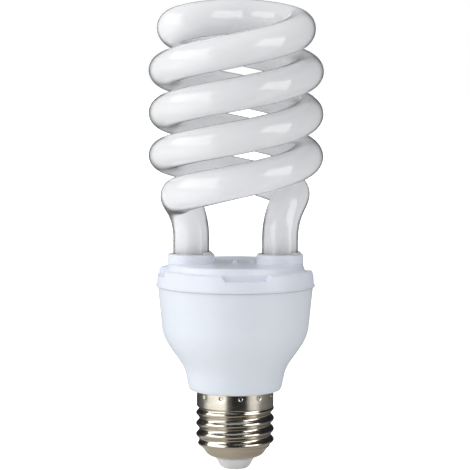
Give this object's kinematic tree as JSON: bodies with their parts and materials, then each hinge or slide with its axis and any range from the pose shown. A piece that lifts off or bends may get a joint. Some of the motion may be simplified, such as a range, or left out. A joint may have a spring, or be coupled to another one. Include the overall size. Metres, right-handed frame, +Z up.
{
  "type": "spiral energy saving bulb",
  "caption": "Compact fluorescent bulb with a glass tube wound as a double spiral over a white ballast housing, on an Edison screw cap.",
  "frame": {"origin": "centre of the lowest face of the centre contact, on the cap's axis", "axes": "+Z up the axis from the cap to the top of the spiral, +X to the right and -Y towards the viewer of the picture, legs of the tube on the X axis"},
  "size_m": [0.0586, 0.0586, 0.1584],
  "materials": {
    "phosphor_glass": "milky white coated glass, gloss",
    "white_housing": "satin gloss",
    "white_cover": "satin gloss",
    "silicone": "soft satin",
    "nickel_shell": "polished nickel plate",
    "insulator_white": "satin",
    "contact_metal": "plain",
    "board_laminate": "matt",
    "pin_metal": "tinned",
    "bare_wire": "bright",
    "wire_black": "satin",
    "wire_red": "satin",
    "capacitor_sleeve": "gloss",
    "ferrite": "matt",
    "bobbin_plastic": "matt",
    "enamelled_copper": "gloss enamel",
    "package_black": "matt",
    "resistor_body": "satin",
    "fuse_body": "matt",
    "diac_glass": "gloss",
    "film_red": "gloss",
    "film_brown": "gloss",
    "ceramic_blue": "satin",
    "ceramic_tan": "matt"
  },
  "bodies": {
    "root": {"glass_tube": "phosphor_glass", "tube_cover": "white_cover", "leg_seals": "silicone", "ballast_housing": "white_housing", "screw_shell": "nickel_shell", "cap_insulator": "insulator_white", "centre_contact": "contact_metal", "circuit_board": "board_laminate", "wire_posts": "pin_metal", "filament_wires": "bare_wire", "live_wire": "wire_red", "neutral_wire": "wire_black", "storage_capacitor": "capacitor_sleeve", "choke_core": "ferrite", "choke_bobbin": "bobbin_plastic", "choke_winding": "enamelled_copper", "drive_transformer_ring": "ferrite", "drive_transformer_winding": "enamelled_copper", "switching_transistors": "package_black", "rectifier_diodes": "package_black", "resistors": "resistor_body", "fuse_resistor": "fuse_body", "trigger_diac": "diac_glass", "resonant_capacitor": "film_red", "coupling_capacitor": "film_brown", "snubber_capacitor": "ceramic_blue", "start_thermistor": "ceramic_tan", "filter_coil_core": "ferrite", "filter_coil_winding": "enamelled_copper"}
  },
  "joints": []
}
